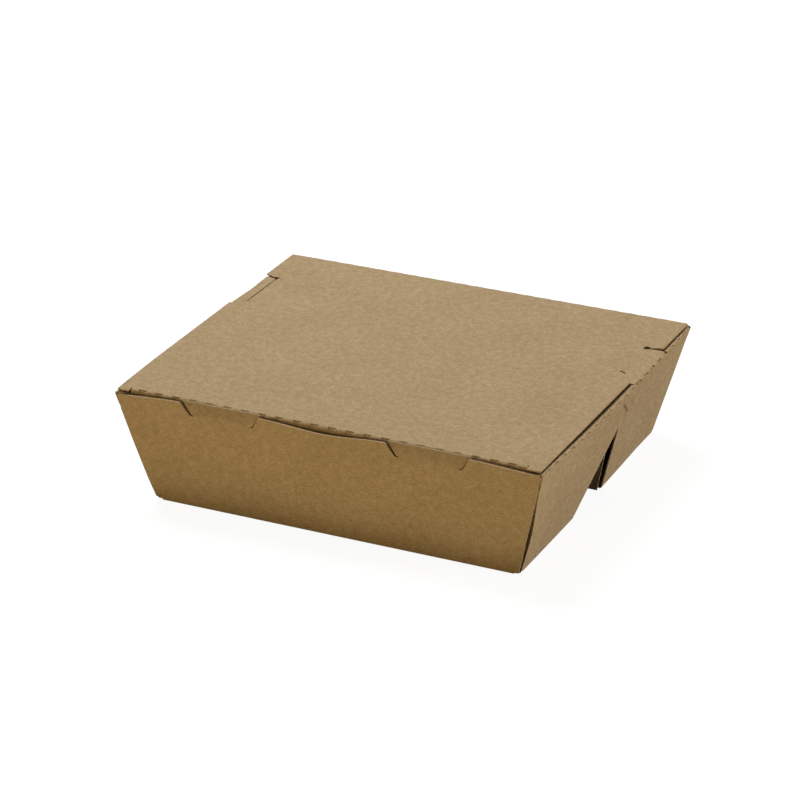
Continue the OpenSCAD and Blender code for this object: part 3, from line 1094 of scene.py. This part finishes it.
def hinge_sheets():
    """The uncut bridges of the hinge crease, from the back wall to the lid, and both ends of its fold."""
    turn = Section(
        [
            (-front_y(RIM_H - HINGE_RUN, mid_z), RIM_H - HINGE_RUN),
            hinge_corner,
            (hinge_corner[0] - HINGE_RUN, hinge_z),
        ],
        [HINGE_FOLD],
    )
    v0, v1 = turn.fold(0)
    end = LID_L / 2 - BRIDGE_IN
    ends = [-end, *[x for cut in hinge_cuts[::-1] for x in (cut - CUT / 2, cut + CUT / 2)], end]

    def place(u, v, kind):
        y, z = turn.at(v).T
        return np.stack([u, y, z], 1)

    rows = turn.rows()
    rows = rows[(rows >= v0) & (rows <= v1)]
    sheets = []
    for u0, u1 in zip(ends[::2], ends[1::2]):
        outline = [(u0, v0), (u1, v0), (u1, v1), (u0, v1)]
        sheets.append(Sheet(outline, [], rows, [(u0 + u1) / 2], place, hand=1))
    return sheets, turn.at(np.array([v0]))[0], turn.at(np.array([v1]))[0]


# Kraft is mottled at three sizes, with short fibres in several directions, in degrees
KRAFT_DARK = (0.318, 0.222, 0.118)
KRAFT = (0.418, 0.301, 0.171)
KRAFT_PALE = (0.520, 0.395, 0.245)
GRAIN = 0.9 * MM
MOTTLE = 3.2 * MM
CLOUD = 30 * MM
FIBRE = 0.35 * MM
FIBRE_TURNS = (8, 62, -50)
EDGE_GRAIN = 0.25 * MM
CARD_ROUGHNESS = 0.85
CARD_SPECULAR = 0.25


def add_node(tree, kind, **values):
    """A new shader node with values for some of its inputs."""
    node = tree.nodes.new("ShaderNode" + kind)
    for name, value in values.items():
        node.inputs[name].default_value = value
    return node


def noise(tree, vector, size, detail=2, stretch=1, angle=0):
    """A noise pattern of one size in metres, drawn out along one direction of the sheet."""
    turn = add_node(tree, "Mapping", Rotation=(0, 0, angle), Scale=(1 / stretch, 1, 1))
    tree.links.new(vector, turn.inputs["Vector"])
    pattern = add_node(tree, "TexNoise", Scale=1 / size, Detail=detail, Roughness=0.6)
    tree.links.new(turn.outputs["Vector"], pattern.inputs["Vector"])
    return pattern.outputs["Fac"]


def weighted(tree, terms):
    """A half plus the weighted distance of each pattern from a half."""
    total = add_node(tree, "Value").outputs[0]
    total.default_value = 0.5 - sum(weight for _, weight in terms) / 2
    for pattern, weight in terms:
        part = add_node(tree, "Math")
        part.operation = "MULTIPLY_ADD"
        part.inputs[1].default_value = weight
        tree.links.new(pattern, part.inputs[0])
        tree.links.new(total, part.inputs[2])
        total = part.outputs[0]
    return total


def colour_ramp(tree, value, stops):
    ramp = add_node(tree, "ValToRGB")
    elements = ramp.color_ramp.elements
    for element, (place, colour) in zip(elements, (stops[0], stops[-1])):
        element.position = place
        element.color = (*colour, 1)
    for place, colour in stops[1:-1]:
        elements.new(place).color = (*colour, 1)
    tree.links.new(value, ramp.inputs["Fac"])
    return ramp.outputs["Color"]


def new_material(name):
    material = bpy.data.materials.new(name)
    material.use_nodes = True
    return material, material.node_tree, material.node_tree.nodes["Principled BSDF"]


def rough_surface(tree, shader, height, strength, depth):
    bump = add_node(tree, "Bump", Strength=strength, Distance=depth)
    tree.links.new(height, bump.inputs["Height"])
    tree.links.new(bump.outputs["Normal"], shader.inputs["Normal"])
    shader.inputs["Roughness"].default_value = CARD_ROUGHNESS
    shader.inputs["Specular IOR Level"].default_value = CARD_SPECULAR


def kraft_face():
    material, tree, shader = new_material("kraft_face")
    sheet = add_node(tree, "Attribute")
    sheet.attribute_name = "sheet"
    at = sheet.outputs["Vector"]
    grain = noise(tree, at, GRAIN, detail=3)
    fibres = [noise(tree, at, FIBRE, stretch=6, angle=math.radians(turn)) for turn in FIBRE_TURNS]
    tone = weighted(tree, [
        (grain, 1.3),
        (noise(tree, at, MOTTLE), 0.8),
        (noise(tree, at, CLOUD), 0.35),
        *[(fibre, 0.7) for fibre in fibres],
    ])
    colour = colour_ramp(tree, tone, [(0.1, KRAFT_DARK), (0.5, KRAFT), (0.9, KRAFT_PALE)])
    tree.links.new(colour, shader.inputs["Base Color"])
    relief = weighted(tree, [(grain, 0.5), *[(fibre, 0.5) for fibre in fibres]])
    rough_surface(tree, shader, relief, strength=0.35, depth=0.04 * MM)
    return material


def kraft_cut_edge():
    """The card's raw edge: pulp without the pressed skin of its faces."""
    material, tree, shader = new_material("kraft_cut_edge")
    place = add_node(tree, "TexCoord")
    grain = noise(tree, place.outputs["Object"], EDGE_GRAIN, detail=3)
    colour = colour_ramp(tree, grain, [(0.2, KRAFT_DARK), (0.5, KRAFT), (0.8, KRAFT_PALE)])
    tree.links.new(colour, shader.inputs["Base Color"])
    rough_surface(tree, shader, grain, strength=0.5, depth=0.05 * MM)
    return material


def make_box():
    tray = thicken("tray_card", [tray_strip(), side_wall(1), side_wall(-1)])
    lid = thicken("lid_card", [lid_sheet()])
    sheets, start, end = hinge_sheets()
    bridges = thicken("hinge_crease", sheets)
    face, cut = kraft_face(), kraft_cut_edge()
    for piece in (tray, lid, bridges):
        piece.data.materials.append(face)
        piece.data.materials.append(cut)
    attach(tray, "tray")
    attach(lid, "lid")
    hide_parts("tray")
    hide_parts("lid")
    start, end = [start + (end - start) * share for share in BLEND_SHARES]
    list(start)
    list(end)
    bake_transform(bridges)


# Camera, on a sphere around a point on the floor; lens and sensor in millimetres
AZIMUTH = math.radians(25.05)
ELEVATION = math.radians(24.28)
DISTANCE = 1.4803
AIM = Vector((-0.0322, 0.0593, 0))
LENS = 148.64
SENSOR = 36

# Floor: half its size, its height, the colour that it bounces, and what is seen of it, white with a shadow
FLOOR_HALF = 20
FLOOR_Z = -0.05 * MM
FLOOR_BOUNCE = (0.12, 0.085, 0.045, 1)
FLOOR_SEEN = (0.15, 0.15, 0.15, 1)
FLOOR_GLOW = 0.93

# World: light on the box, and what the camera sees
SKY = (1, 0.95, 0.88, 1)
SKY_STRENGTH = 0.10
WHITE = (1, 1, 1, 1)

# Height of the lamps that stand for light from the floor, and the colour of those behind and to the left
GLOW_Z = 0.3 * MM
GLOW = (1, 0.86, 0.60)


def direction(azimuth, elevation):
    """Unit vector towards a place, azimuth measured from the front to the right."""
    flat = math.cos(elevation)
    return Vector((flat * math.sin(azimuth), -flat * math.cos(azimuth), math.sin(elevation)))


def make_camera():
    data = bpy.data.cameras.new("camera")
    data.sensor_width = SENSOR
    data.lens = LENS
    camera = add_object("camera", data)
    camera.location = AIM + direction(AZIMUTH, ELEVATION) * DISTANCE
    camera.rotation_euler = (AIM - camera.location).to_track_quat("-Z", "Y").to_euler()
    bpy.context.scene.camera = camera


def area_lamp(name, size, power, colour):
    data = bpy.data.lights.new(name, "AREA")
    data.shape = "RECTANGLE"
    data.size, data.size_y = size
    data.energy = power
    data.color = colour
    lamp = add_object(name, data)
    lamp.visible_camera = False
    return lamp


def soft_lamp(name, azimuth, elevation, distance, size, power, colour):
    """A soft lamp that shines on the box from one side."""
    lamp = area_lamp(name, (size, size), power, colour)
    towards = direction(math.radians(azimuth), math.radians(elevation))
    lamp.location = towards * distance
    lamp.rotation_euler = towards.to_track_quat("Z", "Y").to_euler()


def floor_glow(name, x, y, power, colour):
    """Light from the floor over a range of X and Y, as a reflector lying there gives it."""
    lamp = area_lamp(name, (x[1] - x[0], y[1] - y[0]), power, colour)
    lamp.location = (sum(x) / 2, sum(y) / 2, GLOW_Z)
    lamp.rotation_euler = (math.pi, 0, 0)


def seen_mix(tree, hidden, seen):
    """A shader that is one thing to bounced light and another to camera, glossy and transmission rays."""
    path = add_node(tree, "LightPath")
    either = path.outputs["Is Camera Ray"]
    for ray in ("Is Glossy Ray", "Is Transmission Ray"):
        most = add_node(tree, "Math")
        most.operation = "MAXIMUM"
        tree.links.new(either, most.inputs[0])
        tree.links.new(path.outputs[ray], most.inputs[1])
        either = most.outputs[0]
    mix = add_node(tree, "MixShader")
    tree.links.new(either, mix.inputs[0])
    tree.links.new(hidden, mix.inputs[1])
    tree.links.new(seen, mix.inputs[2])
    return mix.outputs[0]


def make_floor():
    corners = [(x * FLOOR_HALF, y * FLOOR_HALF, 0) for x, y in ((-1, -1), (1, -1), (1, 1), (-1, 1))]
    mesh = bpy.data.meshes.new("floor")
    mesh.from_pydata(corners, [], [(0, 1, 2, 3)])
    floor = add_object("floor", mesh)
    floor.location.z = FLOOR_Z
    material, tree, _ = new_material("floor")
    tree.nodes.clear()
    bounce = add_node(tree, "BsdfDiffuse", Color=FLOOR_BOUNCE)
    shown = add_node(tree, "BsdfDiffuse", Color=FLOOR_SEEN)
    glow = add_node(tree, "Emission", Strength=FLOOR_GLOW)
    both = add_node(tree, "AddShader")
    tree.links.new(shown.outputs[0], both.inputs[0])
    tree.links.new(glow.outputs[0], both.inputs[1])
    out = add_node(tree, "OutputMaterial")
    tree.links.new(seen_mix(tree, bounce.outputs[0], both.outputs[0]), out.inputs[0])
    mesh.materials.append(material)


def make_world():
    world = bpy.data.worlds.new("world")
    bpy.context.scene.world = world
    world.use_nodes = True
    tree = world.node_tree
    tree.nodes.clear()
    sky = add_node(tree, "Background", Color=SKY, Strength=SKY_STRENGTH)
    white = add_node(tree, "Background", Color=WHITE)
    out = add_node(tree, "OutputWorld")
    tree.links.new(seen_mix(tree, sky.outputs[0], white.outputs[0]), out.inputs[0])


make_camera()
make_box()
make_floor()
make_world()
soft_lamp("key", azimuth=-125, elevation=60, distance=2.3, size=1.2, power=45, colour=(1, 0.98, 0.92))
soft_lamp("right_fill", azimuth=98, elevation=10, distance=2, size=0.4, power=21, colour=(1, 0.94, 0.82))
soft_lamp("front_fill", azimuth=-12, elevation=3.5, distance=2, size=0.2, power=7.4, colour=(1, 0.7, 0.2))
floor_glow("front_glow", x=(-0.32, 0.20), y=(-0.5, -0.089), power=0.43, colour=(1, 0.86, 0.58))
floor_glow("back_glow", x=(-0.6, 0.085), y=(0.08, 0.6), power=0.8, colour=GLOW)
floor_glow("left_glow", x=(-0.7, -0.088), y=(-0.08, 0.6), power=0.51, colour=GLOW)
bpy.context.scene.view_settings.view_transform = "Standard"
